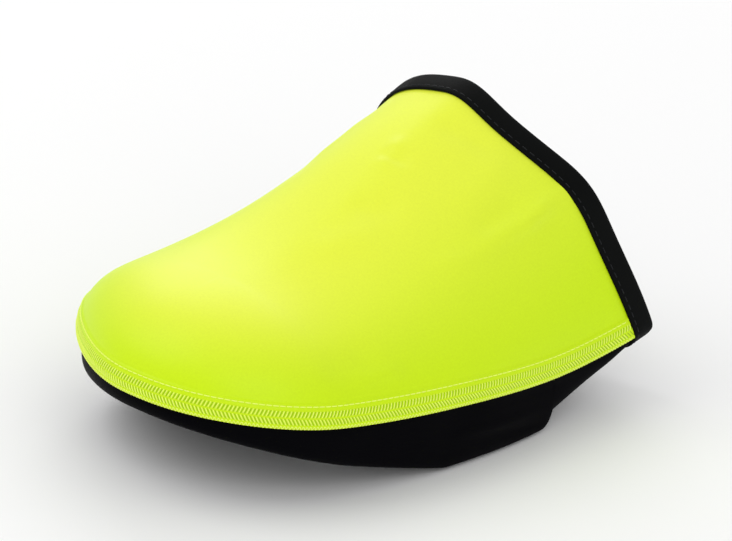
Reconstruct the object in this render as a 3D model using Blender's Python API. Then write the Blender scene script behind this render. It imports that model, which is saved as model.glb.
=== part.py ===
"""Toe cover for a left cycling shoe, as sewn: stretch upper, underside base and collar tape.

The toe points to -Y and the wearer's outer side is at +X. The origin is on the floor, at the
middle of the cover's box. Lengths are in metres, angles in radians.
"""
import math
from collections import namedtuple

import bmesh
import bpy
import numpy as np
from mathutils import Matrix

# Main sizes of the cover
LENGTH = 0.1530           # toe tip to the rear corner at the outer side
WIDTH = 0.1000            # across the seam edges at the widest place
INSTEP_HEIGHT = 0.0820    # floor to the crown at the collar
TOE_REACH = 0.0380        # toe tip to where the ribs of the toe meet
TOE_SQUARENESS = 2.30     # 2 is an ellipse, more is squarer

# Cloth
UPPER_WALL = 0.0015
BASE_WALL = 0.0015
CLEARANCE = 0.0003        # between pieces that touch
BAND_WIDTH = 0.0070       # turned and coverstitched band at the upper's lower edge
BAND_STEP = 0.00035       # how far that band stands proud
LAP_DEPTH = 0.0060        # how far the base reaches up behind the band
TAPE_WIDTH = 0.0073
TAPE_THICKNESS = 0.0007

# Underside
SIDE_HEIGHT = 0.0185      # side wall from the underside to the seam edge, at the ball of the foot
TOE_SPRING = 0.0215       # lowest edge of the toe above the floor
TOE_CURVE = 1.08          # power of the rise, 1 is a straight ramp
PAD_LENGTH = 0.0410       # flat pad under the ball of the foot, up to the lip
STRAP_DEPTH = 0.0385      # lip to the rear corner
LIP_RADIUS = 0.0035
LIP_FACE = 0.0010         # upright part of the lip above its round
ARCH_RISE = 0.0115        # further rise from the lip to the collar
EDGE_TUCK = 0.0080        # how far the side wall turns in under the foot
EDGE_FULLNESS = 2.57      # squareness of that turn

# Cleat opening
CLEAT_WIDTH = 0.0560
CLEAT_LENGTH = 0.0480
CLEAT_TO_LIP = 0.0090
CLEAT_SHIFT = 0.0030      # towards the outer side
CLEAT_SQUARENESS = 3.4

# Swells of the skin over the foot, which fade towards the toe
FADE_LENGTH = 0.1500      # where the swells reach their full rise
RIDGE_RISE = 0.0026       # over the instep's crest
SHOULDER_RISE = 0.0024    # where the top turns into the outer side
INNER_RISE = 0.0011       # fullness of the inner side

# Mesh
TOE_RIBS = 11             # on each side of the toe tip
BODY_RIBS = 12            # from the toe's ribs to the tape
BAND_ROWS = 3             # of the skin's rows, those that lie on the band
SKIN_ROWS = 13            # from the band to the crown
LAP_ROWS = 3              # of the base's rows, those behind the band
WALL_ROWS = 6             # from the seam down to the underside
SOLE_ROWS = 4             # from the wall to the middle of the underside
LIP_ROWS = 4              # round the lip
CLEAT_SIDES = 40
SHARP_ANGLE = math.radians(40)
MERGE_DIGITS = 7          # decimals of a metre to which points coincide

# Places that follow from the sizes, as distances behind the toe tip
LIP_PLACE = LENGTH - STRAP_DEPTH
PAD_FRONT = LIP_PLACE - PAD_LENGTH
CLEAT_FRONT = LIP_PLACE - CLEAT_TO_LIP - CLEAT_LENGTH
ARCH_HEIGHT = LIP_RADIUS + LIP_FACE + ARCH_RISE

# Places that follow from the tape, as distances before the collar's edge
EDGE_IN_TAPE = TAPE_THICKNESS + CLEARANCE
FRONT_OF_TAPE = TAPE_WIDTH + CLEARANCE
END_OF_BAND = FRONT_OF_TAPE + BAND_STEP

OUTER, INNER = 1, -1
QUARTER = math.pi / 2

Rib = namedtuple("Rib", "side sweep share back")


def columns(names, rows):
    """Turn a table's rows into one array for each named column."""
    return {name: np.array(values, float) for name, values in zip(names.split(), zip(*rows))}


# Sides from the toe tip back. Along is a share of LENGTH, and outer and inner are half widths
# as shares of WIDTH. The seam edge's height is spring of TOE_SPRING, arch of ARCH_HEIGHT and
# the side's own share of SIDE_HEIGHT. Tuck is a share of EDGE_TUCK, and full a squareness.
SIDES = columns("along outer inner spring arch outer_side inner_side outer_full inner_full tuck", (
    (0.000, 0.356, 0.320, 1.00, 0.00, 0.346, 0.346, 2.58, 2.26, 1.02),
    (0.125, 0.406, 0.437, 0.70, 0.00, 0.530, 0.664, 2.32, 2.16, 0.82),
    (0.250, 0.452, 0.507, 0.42, 0.00, 0.724, 0.913, 2.07, 2.08, 0.65),
    (0.375, 0.492, 0.506, 0.20, 0.00, 0.897, 1.024, 1.87, 2.02, 0.58),
    (0.500, 0.516, 0.464, 0.05, 0.00, 1.000, 1.071, 1.73, 2.01, 0.58),
    (0.625, 0.522, 0.420, 0.00, 0.05, 0.927, 1.079, 1.67, 2.05, 0.50),
    (0.750, 0.517, 0.397, 0.00, 0.25, 0.694, 0.988, 1.69, 2.14, 0.60),
    (0.875, 0.513, 0.396, 0.00, 0.62, 0.422, 0.762, 1.75, 2.26, 0.95),
    (1.000, 0.519, 0.405, 0.00, 1.00, 0.249, 0.516, 1.84, 2.40, 1.26),
))

# Crown line from the end of the toe back: height as a share of INSTEP_HEIGHT and the lean to
# the inner side as one of WIDTH.
CROWN = columns("along height lean", (
    (0.248, 0.624, 0.038),
    (0.310, 0.635, 0.033),
    (0.375, 0.663, 0.028),
    (0.500, 0.748, 0.023),
    (0.625, 0.849, 0.026),
    (0.750, 0.933, 0.040),
    (0.875, 0.998, 0.063),
    (1.000, 1.052, 0.093),
))

# Collar's edge round the rib: 0 is the outer seam, 1 the crown and 2 the inner seam.
COLLAR = columns("around along", (
    (0.00, 1.000),
    (0.25, 0.951),
    (0.50, 0.915),
    (0.75, 0.871),
    (1.00, 0.862),
    (1.25, 0.862),
    (1.50, 0.881),
    (1.75, 0.908),
    (2.00, 0.924),
))

# Swells round the rib: angle from the crown, outer side positive, and how wide they spread.
SWELLS = columns("rise angle spread", (
    (RIDGE_RISE, 0.146, 0.180),
    (SHOULDER_RISE, 0.835, 0.174),
))


def spline(places, values):
    """Natural cubic curve through a column; returns a function of the place."""
    steps = np.diff(places)
    slopes = np.diff(values) / steps
    count = len(places)
    system = np.eye(count)
    right = np.zeros(count)
    for k in range(1, count - 1):
        system[k, k - 1:k + 2] = steps[k - 1], 2 * (steps[k - 1] + steps[k]), steps[k]
        right[k] = 6 * (slopes[k] - slopes[k - 1])
    bend = np.linalg.solve(system, right)

    def at(place):
        k = int(np.clip(np.searchsorted(places, place) - 1, 0, count - 2))
        step = steps[k]
        after = place - places[k]
        before = places[k + 1] - place
        cubic = (bend[k] * before ** 3 + bend[k + 1] * after ** 3) / (6 * step)
        line = (values[k] / step - bend[k] * step / 6) * before
        return cubic + line + (values[k + 1] / step - bend[k + 1] * step / 6) * after

    return at


half_share = {OUTER: spline(SIDES["along"], SIDES["outer"]), INNER: spline(SIDES["along"], SIDES["inner"])}
side_share = {
    OUTER: spline(SIDES["along"], SIDES["outer_side"]),
    INNER: spline(SIDES["along"], SIDES["inner_side"]),
}
full_at = {
    OUTER: spline(SIDES["along"], SIDES["outer_full"]),
    INNER: spline(SIDES["along"], SIDES["inner_full"]),
}
spring_share = spline(SIDES["along"], SIDES["spring"])
arch_share = spline(SIDES["along"], SIDES["arch"])
tuck_share = spline(SIDES["along"], SIDES["tuck"])
crown_height = spline(CROWN["along"], CROWN["height"])
crown_lean = spline(CROWN["along"], CROWN["lean"])
collar_line = spline(COLLAR["around"], COLLAR["along"])


def half_width(side, d):
    """Distance of the seam edge from the middle line, d behind the toe tip."""
    return WIDTH * half_share[side](d / LENGTH)


def seam_height(side, d):
    """Height of the seam edge above the floor, d behind the toe tip."""
    along = d / LENGTH
    sole = TOE_SPRING * spring_share(along) + ARCH_HEIGHT * arch_share(along)
    return sole + SIDE_HEIGHT * side_share[side](along)


def fullness(side, d, sweep):
    """Squareness of a rib; the two sides meet at their mean at the toe tip."""
    mean = (full_at[OUTER](d / LENGTH) + full_at[INNER](d / LENGTH)) / 2
    return mean + (full_at[side](d / LENGTH) - mean) * sweep


def crown_point(d):
    """Crown of the section at d, as x, d and height."""
    along = d / LENGTH
    return -WIDTH * crown_lean(along), d, INSTEP_HEIGHT * crown_height(along)


def collar_place(side, angle):
    """Distance of the collar's edge behind the toe tip, angle up the rib from the seam."""
    up = angle / QUARTER
    return LENGTH * collar_line(up if side == OUTER else 2 - up)


def rib_foot(rib, angle=0.0):
    """Plan place of a rib's foot; behind the toe it follows the collar's slant with the angle."""
    if rib.sweep < 1:
        turn = rib.sweep * QUARTER
        power = 2 / TOE_SQUARENESS
        d = TOE_REACH * (1 - math.cos(turn) ** power)
        return rib.side * half_width(rib.side, d) * math.sin(turn) ** power, d
    d = TOE_REACH + rib.share * (collar_place(rib.side, angle) - TOE_REACH - rib.back)
    return rib.side * half_width(rib.side, d), d


def swell(side, angle, d):
    """How far the skin stands out over the plain rib."""
    from_crown = side * (QUARTER - angle)
    rise = sum(high * math.exp(-((from_crown - at) / spread) ** 2)
               for high, at, spread in zip(SWELLS["rise"], SWELLS["angle"], SWELLS["spread"]))
    if side == INNER:
        rise += INNER_RISE * math.sin(2 * angle)
    return rise * (d / FADE_LENGTH) ** 2


def skin(rib, angle):
    """Point of the outer skin on a rib: angle 0 is the seam edge and a quarter turn the crown."""
    x, d = rib_foot(rib, angle)
    top = crown_point(TOE_REACH if rib.sweep < 1 else d)
    low = seam_height(rib.side, d)
    power = 2 / fullness(rib.side, d, rib.sweep)
    across = 1 - math.cos(angle) ** power
    up = math.sin(angle) ** power
    place = d + (top[1] - d) * across
    out = swell(rib.side, angle, place)
    return np.array((
        x + (top[0] - x) * across + rib.side * out * math.cos(angle),
        place,
        low + (top[2] - low) * up + out * math.sin(angle),
    ))


def angle_at(rib, height):
    """Angle at which a rib is this high above its seam edge."""
    d = rib_foot(rib)[1]
    top = crown_point(TOE_REACH if rib.sweep < 1 else d)[2]
    full = fullness(rib.side, d, rib.sweep)
    return math.asin((height / (top - seam_height(rib.side, d))) ** (full / 2))


def skin_angles(rib):
    """Angles of a rib's rows: the seam edge, the band's middle, its step, then up to the crown."""
    heights = (0.0, LAP_DEPTH / 2, BAND_WIDTH, BAND_WIDTH + BAND_STEP)
    low = [angle_at(rib, height) for height in heights]
    step = (QUARTER - low[-1]) / SKIN_ROWS
    return low + [low[-1] + step * k for k in range(1, SKIN_ROWS)] + [QUARTER]


def underside(d):
    """Height of the underside's edge above the floor, d behind the toe tip."""
    if d < PAD_FRONT:
        return TOE_SPRING * (1 - d / PAD_FRONT) ** TOE_CURVE
    if d < LIP_PLACE - LIP_RADIUS:
        return 0.0
    if d <= LIP_PLACE:
        return LIP_RADIUS - math.sqrt(LIP_RADIUS ** 2 - (d - LIP_PLACE + LIP_RADIUS) ** 2)
    return LIP_RADIUS + LIP_FACE + ARCH_RISE * (d - LIP_PLACE) / STRAP_DEPTH


def outer_place(rib):
    """Distance behind the toe tip on the outer side of the section that this rib belongs to."""
    return rib_foot(rib._replace(side=OUTER))[1]


def ring(body):
    """Ribs from the outer rear corner round the toe to the inner one; body is (share, back)."""
    outer = [Rib(OUTER, 1, share, back) for share, back in reversed(body)]
    toe_out = [Rib(OUTER, k / TOE_RIBS, 0, 0) for k in range(TOE_RIBS - 1, -1, -1)]
    toe_in = [Rib(INNER, k / TOE_RIBS, 0, 0) for k in range(1, TOE_RIBS)]
    inner = [Rib(INNER, 1, share, back) for share, back in body]
    return outer + toe_out + toe_in + inner


def body_places():
    """Share of the way to the tape and distance before the collar, for each body rib."""
    even = [(k / BODY_RIBS, END_OF_BAND) for k in range(BODY_RIBS + 1)]
    return even + [(1, FRONT_OF_TAPE), (1, (FRONT_OF_TAPE + EDGE_IN_TAPE) / 2), (1, EDGE_IN_TAPE)]


def base_places():
    """As body_places, with more ribs round the pad's front and the lip."""
    whole = collar_place(OUTER, 0) - TOE_REACH - END_OF_BAND
    turns = [LIP_RADIUS * (math.sin(QUARTER * k / LIP_ROWS) - 1) for k in range(LIP_ROWS + 1)]
    steps = turns + [LIP_FACE / 2, LIP_RADIUS]
    special = [(PAD_FRONT - TOE_REACH) / whole] + [(LIP_PLACE + step - TOE_REACH) / whole for step in steps]
    nearest = 0.5 / BODY_RIBS
    even = [k / BODY_RIBS for k in range(1, BODY_RIBS)]
    kept = [share for share in even if all(abs(share - other) > nearest for other in special)]
    shares = sorted([0.0] + kept + special + [1.0])
    return [(share, END_OF_BAND) for share in shares] + body_places()[BODY_RIBS + 1:]


def indexed(grid):
    """Number the points of a grid, giving points that coincide one number."""
    numbers, points, index = {}, [], []
    for line in grid:
        row = []
        for point in line:
            key = tuple(round(float(value), MERGE_DIGITS) for value in point)
            if key not in numbers:
                numbers[key] = len(points)
                points.append(np.array(point, float))
            row.append(numbers[key])
        index.append(row)
    return np.array(points), index


def grid_faces(index):
    """Faces between neighbouring lines of a grid, without the corners that coincide."""
    faces = []
    for line, following in zip(index, index[1:]):
        for k in range(len(line) - 1):
            corners = []
            for number in (line[k], following[k], following[k + 1], line[k + 1]):
                if number not in corners:
                    corners.append(number)
            if len(corners) > 2:
                faces.append(corners)
    return faces


def outward(points, faces):
    """Unit normals at the points, turned away from the middle of the cover."""
    normals = np.zeros_like(points)
    for face in faces:
        corners = points[face]
        area = sum(np.cross(corners[k] - corners[0], corners[k + 1] - corners[0])
                   for k in range(1, len(face) - 1))
        for number in face:
            normals[number] += area
    normals /= np.linalg.norm(normals, axis=1)[:, None]
    middle = np.array((0.0, LENGTH / 2, INSTEP_HEIGHT / 2))
    facing = np.einsum("ij,ij->i", normals, points - middle).sum()
    return normals if facing > 0 else -normals


def grown(grid, amounts):
    """The grid moved outwards along its own normals, by one amount for each line."""
    points, index = indexed(grid)
    normals = outward(points, grid_faces(index))
    return [[points[number] + normals[number] * amount for number in row]
            for row, amount in zip(index, amounts)]


def new_object(name, points, faces, material, collection):
    """Mesh object from points given as x, distance behind the toe tip and height."""
    mesh = bpy.data.meshes.new(name)
    mesh.from_pydata([tuple(point) for point in points], [], [tuple(face) for face in faces])
    edit = bmesh.new()
    edit.from_mesh(mesh)
    bmesh.ops.recalc_face_normals(edit, faces=edit.faces)
    edit.to_mesh(mesh)
    edit.free()
    mesh.shade_smooth()
    mesh.set_sharp_from_angle(angle=SHARP_ANGLE)
    mesh.materials.append(material)
    piece = bpy.data.objects.new(name, mesh)
    collection.objects.link(piece)
    return piece


def shell(name, grid, outside, inside, material, collection):
    """Closed wall on a grid, from the offset inside to the offset outside at each grid point."""
    points, index = indexed(grid)
    faces = grid_faces(index)
    normals = outward(points, faces)
    far, near = np.zeros(len(points)), np.zeros(len(points))
    for row, row_out, row_in in zip(index, outside, inside):
        far[row], near[row] = row_out, row_in
    walls = np.concatenate((points + normals * far[:, None], points + normals * near[:, None]))
    count = len(points)
    edges = {}
    for face in faces:
        for start, end in zip(face, face[1:] + face[:1]):
            edges[start, end] = edges.get((start, end), 0) + 1
    rim = [(start, end) for start, end in edges if (end, start) not in edges]
    closed = faces + [[number + count for number in reversed(face)] for face in faces]
    closed += [[end, start, start + count, end + count] for start, end in rim]
    return new_object(name, walls, closed, material, collection)


def upper_piece(material, collection):
    """Stretch upper: one hollow shell whose lower band is a step in its wall."""
    ribs = ring(body_places())
    grid = [[skin(rib, angle) for angle in skin_angles(rib)] for rib in ribs]
    rows = len(grid[0])
    banded = [rib.sweep < 1 or rib.back == END_OF_BAND for rib in ribs]
    outside = [[BAND_STEP if band and k < BAND_ROWS else 0.0 for k in range(rows)] for band in banded]
    inside = [[-UPPER_WALL] * rows for rib in ribs]
    return shell("upper", grid, outside, inside, material, collection)


def base_grid(ribs):
    """Outer skin of the base: up behind the band, down the side wall and in to the middle."""
    heights = (0.0, LAP_DEPTH / 2, LAP_DEPTH, LAP_DEPTH * 1.5)
    form = [[skin(rib, angle_at(rib, height)) for height in heights] for rib in ribs]
    lap = grown(form, [-(UPPER_WALL + CLEARANCE)] * len(form))
    walls = []
    for rib, (edge, _, _, _), (foot, half, top, _) in zip(ribs, form, lap):
        x, d = rib_foot(rib)
        inward = np.array((-rib.side, 0.0))
        if rib.sweep < 1:
            inward = np.array((crown_point(TOE_REACH)[0] - x, TOE_REACH - d))
            inward /= np.linalg.norm(inward)
        place = outer_place(rib)
        tuck = EDGE_TUCK * tuck_share(place / LENGTH)
        line = [top, half, foot]
        for k in range(1, WALL_ROWS + 1):
            turn = QUARTER * k / WALL_ROWS
            share = 1 - math.cos(turn) ** (2 / EDGE_FULLNESS)
            drop = math.sin(turn) ** (2 / EDGE_FULLNESS)
            plan = foot[:2] + (edge[:2] - foot[:2]) * drop + inward * tuck * share
            line.append(np.array((*plan, edge[2] + (underside(place) - edge[2]) * drop)))
        walls.append(line)
    return [line + sole_rows(ribs, walls, number) for number, line in enumerate(walls)]


def sole_rows(ribs, walls, number):
    """Points from the foot of one side wall in to the middle of the underside."""
    rib = ribs[number]
    edge = walls[number][-1]
    if rib.sweep < 1:
        toe_end = [k for k, other in enumerate(ribs) if other.sweep == 1 and other.share == 0]
        middle = (walls[toe_end[0]][-1] + walls[toe_end[1]][-1]) / 2
    else:
        middle = (edge + walls[len(ribs) - 1 - number][-1]) / 2
    place = outer_place(rib)
    target = TOE_REACH if rib.sweep < 1 else place
    rows = []
    for k in range(1, SOLE_ROWS + 1):
        share = k / SOLE_ROWS
        plan = edge[:2] + (middle[:2] - edge[:2]) * share
        rows.append(np.array((*plan, underside(place + (target - place) * share))))
    return rows


def base_piece(material, collection, cutter):
    """Underside base with its cleat opening."""
    grid = base_grid(ring(base_places()))
    rows = len(grid[0])
    outside = [[0.0] * rows for line in grid]
    inside = [[-BASE_WALL] * rows for line in grid]
    base = shell("base", grid, outside, inside, material, collection)
    cut = base.modifiers.new("cleat opening", "BOOLEAN")
    cut.operation = "DIFFERENCE"
    cut.solver = "EXACT"
    cut.object = cutter
    return base


def cleat_cutter(collection):
    """Upright rounded block that cuts the cleat opening."""
    depth = 2 * (TOE_SPRING + ARCH_HEIGHT)
    bpy.ops.mesh.primitive_cylinder_add(vertices=CLEAT_SIDES, radius=1, depth=depth, location=(0, 0, 0))
    cutter = bpy.context.object
    cutter.name = "cleat_cutter"
    power = 2 / CLEAT_SQUARENESS
    for vertex in cutter.data.vertices:
        x, y, _ = vertex.co
        vertex.co.x = CLEAT_SHIFT + math.copysign(abs(x) ** power, x) * CLEAT_WIDTH / 2
        vertex.co.y = CLEAT_FRONT + (1 + math.copysign(abs(y) ** power, y)) * CLEAT_LENGTH / 2
    for owner in cutter.users_collection:
        owner.objects.unlink(cutter)
    collection.objects.link(cutter)
    cutter.hide_render = True
    cutter.display_type = "WIRE"
    return cutter


def tape_lines():
    """Lines across the tape's path: over the upper, then back under the base."""
    backs = (0.0, TAPE_THICKNESS, TAPE_WIDTH)
    outer = [Rib(OUTER, 1, 1, back) for back in backs]
    inner = [rib._replace(side=INNER) for rib in outer]
    steps = list(zip(*(skin_angles(rib) for rib in outer)))
    over = [[skin(rib, angle) for rib, angle in zip(outer, step)] for step in steps]
    steps = list(zip(*(skin_angles(rib) for rib in inner)))
    over += [[skin(rib, angle) for rib, angle in zip(inner, step)] for step in reversed(steps[:-1])]
    ahead = Rib(OUTER, 1, 1, 2 * TAPE_WIDTH)
    base = base_grid(outer + [ahead, ahead._replace(side=INNER)] + inner[::-1])
    middle = len(base[0]) - 1
    under = [[base[-1 - k][row] for k in range(len(backs))] for row in range(LAP_ROWS, middle + 1)]
    under += [[base[k][row] for k in range(len(backs))] for row in range(middle - 1, LAP_ROWS - 1, -1)]
    return over, under


def tape_piece(material, collection):
    """Collar tape folded over the rear edge: a U section carried round a closed loop."""
    over, under = tape_lines()
    lapped = UPPER_WALL + CLEARANCE + BASE_WALL
    last = len(over) - 1
    depths = [lapped if min(k, last - k) < BAND_ROWS else UPPER_WALL for k in range(len(over))]
    points, faces = [], []
    for lines, walls in ((over, depths), (under, [BASE_WALL] * len(under))):
        outside = grown(lines, [CLEARANCE] * len(lines))
        outer_face = grown(lines, [CLEARANCE + TAPE_THICKNESS] * len(lines))
        inside = grown(lines, [-wall - CLEARANCE for wall in walls])
        inner_face = grown(lines, [-wall - CLEARANCE - TAPE_THICKNESS for wall in walls])
        for near_out, far_out, near_in, far_in in zip(outside, outer_face, inside, inner_face):
            points += [far_out[0], far_out[2], near_out[2], near_out[1],
                       near_in[1], near_in[2], far_in[2], far_in[0]]
    corners = 8
    count = len(points) // corners
    for section in range(count):
        start, following = section * corners, (section + 1) % count * corners
        for k in range(corners):
            after = (k + 1) % corners
            faces.append([start + k, start + after, following + after, following + k])
    return new_object("collar_binding", points, faces, material, collection)


def cloth(name, colour, roughness):
    """Plain cloth material."""
    material = bpy.data.materials.new(name)
    material.use_nodes = True
    shader = material.node_tree.nodes["Principled BSDF"]
    shader.inputs["Base Color"].default_value = (*colour, 1)
    shader.inputs["Roughness"].default_value = roughness
    shader.inputs["Metallic"].default_value = 0
    return material


def stand_on_origin(pieces, cutters):
    """Move every mesh so that the box of the pieces stands on the origin."""
    corners = np.array([vertex.co for piece in pieces for vertex in piece.data.vertices])
    low, high = corners.min(axis=0), corners.max(axis=0)
    shift = Matrix.Translation((-(low[0] + high[0]) / 2, -(low[1] + high[1]) / 2, -low[2]))
    for piece in pieces + cutters:
        piece.data.transform(shift)


def build():
    for item in list(bpy.data.objects):
        bpy.data.objects.remove(item, do_unlink=True)
    cover = bpy.data.collections.new("cycling_toe_cover")
    cutters = bpy.data.collections.new("cutters")
    bpy.context.scene.collection.children.link(cover)
    bpy.context.scene.collection.children.link(cutters)
    yellow = cloth("stretch_shell", (0.62, 0.90, 0.01), 0.42)
    black = cloth("base_fabric", (0.012, 0.012, 0.014), 0.75)
    tape = cloth("binding_tape", (0.016, 0.016, 0.018), 0.80)
    cutter = cleat_cutter(cutters)
    pieces = [
        upper_piece(yellow, cover),
        base_piece(black, cover, cutter),
        tape_piece(tape, cover),
    ]
    stand_on_origin(pieces, [cutter])


build()
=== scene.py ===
# Looks for the toe cover of a left cycling shoe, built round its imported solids.
# The toe points to -Y and the wearer's outer side is at +X. Lengths are in metres.
import math

import bpy
import numpy as np
from mathutils import Matrix, Vector


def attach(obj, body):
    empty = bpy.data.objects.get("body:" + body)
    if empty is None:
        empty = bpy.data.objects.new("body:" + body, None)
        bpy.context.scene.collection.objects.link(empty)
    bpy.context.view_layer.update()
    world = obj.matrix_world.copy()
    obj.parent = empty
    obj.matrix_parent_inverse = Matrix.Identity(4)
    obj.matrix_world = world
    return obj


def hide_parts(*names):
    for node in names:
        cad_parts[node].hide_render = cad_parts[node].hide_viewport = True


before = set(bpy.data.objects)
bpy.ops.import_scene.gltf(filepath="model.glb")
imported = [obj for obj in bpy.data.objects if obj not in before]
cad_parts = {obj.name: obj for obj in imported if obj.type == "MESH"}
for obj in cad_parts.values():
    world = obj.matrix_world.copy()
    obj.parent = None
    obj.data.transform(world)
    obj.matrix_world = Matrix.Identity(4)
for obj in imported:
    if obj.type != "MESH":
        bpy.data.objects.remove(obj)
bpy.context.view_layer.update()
bpy.ops.object.select_all(action="DESELECT")
print("frame loaded:", sorted(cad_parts))

quarter = math.pi / 2
outerSide, innerSide = 1, -1

# The form that every piece lies on: the solids' own sizes.
form = {
    "length": 0.1530, "width": 0.1000, "instepHeight": 0.0820, "toeReach": 0.0380, "toeSquareness": 2.30,
    "upperWall": 0.0015, "baseWall": 0.0015, "clearance": 0.0003,
    "bandWidth": 0.0070, "lapDepth": 0.0060, "tapeWidth": 0.0073, "tapeThickness": 0.0007,
    "sideHeight": 0.0185, "toeSpring": 0.0215, "toeCurve": 1.08, "padLength": 0.0410, "strapDepth": 0.0385,
    "lipRadius": 0.0035, "lipFace": 0.0010, "lipDepth": 0.0007, "archRise": 0.0115,
    "edgeTuck": 0.0080, "edgeFullness": 2.57,
    "cleatWidth": 0.0560, "cleatLength": 0.0480, "cleatToLip": 0.0090, "cleatShift": 0.0030,
    "cleatSquareness": 3.4, "fadeLength": 0.1500, "ridgeRise": 0.0026, "shoulderRise": 0.0024,
    "innerRise": 0.0011, "shiftX": -0.000561, "shiftY": -0.076468,
}
lipPlace = form["length"] - form["strapDepth"]
padFront = lipPlace - form["padLength"]
cleatFront = lipPlace - form["cleatToLip"] - form["cleatLength"]
archHeight = form["lipRadius"] + form["lipFace"] + form["archRise"]
edgeInTape = form["tapeThickness"] + form["clearance"]


def columns(names, rows):
    return {name: np.array(values, float) for name, values in zip(names.split(), zip(*rows))}


# Shares of the sizes above, from the toe tip back.
sides = columns("along outer inner spring arch outerSide innerSide outerFull innerFull tuck", (
    (0.000, 0.356, 0.320, 1.00, 0.00, 0.346, 0.346, 2.58, 2.26, 1.02),
    (0.125, 0.406, 0.437, 0.70, 0.00, 0.530, 0.664, 2.32, 2.16, 0.82),
    (0.250, 0.452, 0.507, 0.42, 0.00, 0.724, 0.913, 2.07, 2.08, 0.65),
    (0.375, 0.492, 0.506, 0.20, 0.00, 0.897, 1.024, 1.87, 2.02, 0.58),
    (0.500, 0.516, 0.464, 0.05, 0.00, 1.000, 1.071, 1.73, 2.01, 0.58),
    (0.625, 0.522, 0.420, 0.00, 0.05, 0.927, 1.079, 1.67, 2.05, 0.50),
    (0.750, 0.517, 0.397, 0.00, 0.25, 0.694, 0.988, 1.69, 2.14, 0.60),
    (0.875, 0.513, 0.396, 0.00, 0.62, 0.422, 0.762, 1.75, 2.26, 0.95),
    (1.000, 0.519, 0.405, 0.00, 1.00, 0.249, 0.516, 1.84, 2.40, 1.26),
))
crown = columns("along height lean", (
    (0.248, 0.624, 0.038), (0.310, 0.635, 0.033), (0.375, 0.663, 0.028), (0.500, 0.748, 0.023),
    (0.625, 0.849, 0.026), (0.750, 0.933, 0.040), (0.875, 0.998, 0.063), (1.000, 1.052, 0.093),
))
collar = columns("around along", (
    (0.00, 1.000), (0.25, 0.951), (0.50, 0.915), (0.75, 0.871), (1.00, 0.862),
    (1.25, 0.862), (1.50, 0.881), (1.75, 0.908), (2.00, 0.924),
))
swells = ((form["ridgeRise"], 0.146, 0.180), (form["shoulderRise"], 0.835, 0.174))


def curveThrough(places, values):
    # natural cubic curve through a column, for arrays of places
    steps = np.diff(places)
    slopes = np.diff(values) / steps
    count = len(places)
    system = np.eye(count)
    right = np.zeros(count)
    for k in range(1, count - 1):
        system[k, k - 1:k + 2] = steps[k - 1], 2 * (steps[k - 1] + steps[k]), steps[k]
        right[k] = 6 * (slopes[k] - slopes[k - 1])
    bend = np.linalg.solve(system, right)

    def at(place):
        place = np.asarray(place, float)
        k = np.clip(np.searchsorted(places, place) - 1, 0, count - 2)
        step, after, before = steps[k], place - places[k], places[k + 1] - place
        cubic = (bend[k] * before ** 3 + bend[k + 1] * after ** 3) / (6 * step)
        low = (values[k] / step - bend[k] * step / 6) * before
        return cubic + low + (values[k + 1] / step - bend[k + 1] * step / 6) * after

    return at


curveOf = {name: curveThrough(sides["along"], sides[name]) for name in sides if name != "along"}
crownHeight = curveThrough(crown["along"], crown["height"])
crownLean = curveThrough(crown["along"], crown["lean"])
collarLine = curveThrough(collar["around"], collar["along"])


def bySide(side, outerName, innerName, along):
    return np.where(side > 0, curveOf[outerName](along), curveOf[innerName](along))


def halfWidth(side, d):
    return form["width"] * bySide(side, "outer", "inner", d / form["length"])


def seamHeight(side, d):
    along = d / form["length"]
    sole = form["toeSpring"] * curveOf["spring"](along) + archHeight * curveOf["arch"](along)
    return sole + form["sideHeight"] * bySide(side, "outerSide", "innerSide", along)


def fullness(side, d, sweep):
    along = d / form["length"]
    mean = (curveOf["outerFull"](along) + curveOf["innerFull"](along)) / 2
    return mean + (bySide(side, "outerFull", "innerFull", along) - mean) * sweep


def crownPoint(d):
    along = d / form["length"]
    return -form["width"] * crownLean(along), d, form["instepHeight"] * crownHeight(along)


def collarPlace(side, angle):
    up = angle / quarter
    return form["length"] * collarLine(np.where(side > 0, up, 2 - up))


def ribFoot(rib, angle=0.0):
    # rib is (side, sweep, share, back) as arrays: sweep under 1 is a rib of the toe
    side, sweep, share, back = rib
    turn = np.minimum(sweep, 1) * quarter
    power = 2 / form["toeSquareness"]
    toePlace = form["toeReach"] * (1 - np.maximum(np.cos(turn), 0) ** power)
    bodyPlace = form["toeReach"] + share * (collarPlace(side, angle) - form["toeReach"] - back)
    d = np.where(sweep < 1, toePlace, bodyPlace)
    return side * halfWidth(side, d) * np.where(sweep < 1, np.sin(turn) ** power, 1.0), d


def swell(side, angle, d):
    fromCrown = side * (quarter - angle)
    rise = sum(high * np.exp(-((fromCrown - at) / spread) ** 2) for high, at, spread in swells)
    rise = rise + np.where(side < 0, form["innerRise"] * np.sin(2 * angle), 0.0)
    return rise * (d / form["fadeLength"]) ** 2


def skin(rib, angle):
    # outer skin on a rib: angle 0 is the seam edge, a quarter turn the crown
    side, sweep = rib[0], rib[1]
    x, d = ribFoot(rib, angle)
    topX, topD, topZ = crownPoint(np.where(sweep < 1, form["toeReach"], d))
    low = seamHeight(side, d)
    power = 2 / fullness(side, d, sweep)
    across = 1 - np.maximum(np.cos(angle), 0) ** power
    up = np.sin(angle) ** power
    place = d + (topD - d) * across
    out = swell(side, angle, place)
    return np.stack((
        x + (topX - x) * across + side * out * np.cos(angle),
        place,
        low + (topZ - low) * up + out * np.sin(angle),
    ), axis=-1)


def angleAt(rib, height):
    # angle at which a rib is this high above its seam edge
    side, sweep = rib[0], rib[1]
    x, d = ribFoot(rib)
    top = crownPoint(np.where(sweep < 1, form["toeReach"], d))[2]
    full = fullness(side, d, sweep)
    return np.arcsin((height / (top - seamHeight(side, d))) ** (full / 2))


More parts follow.
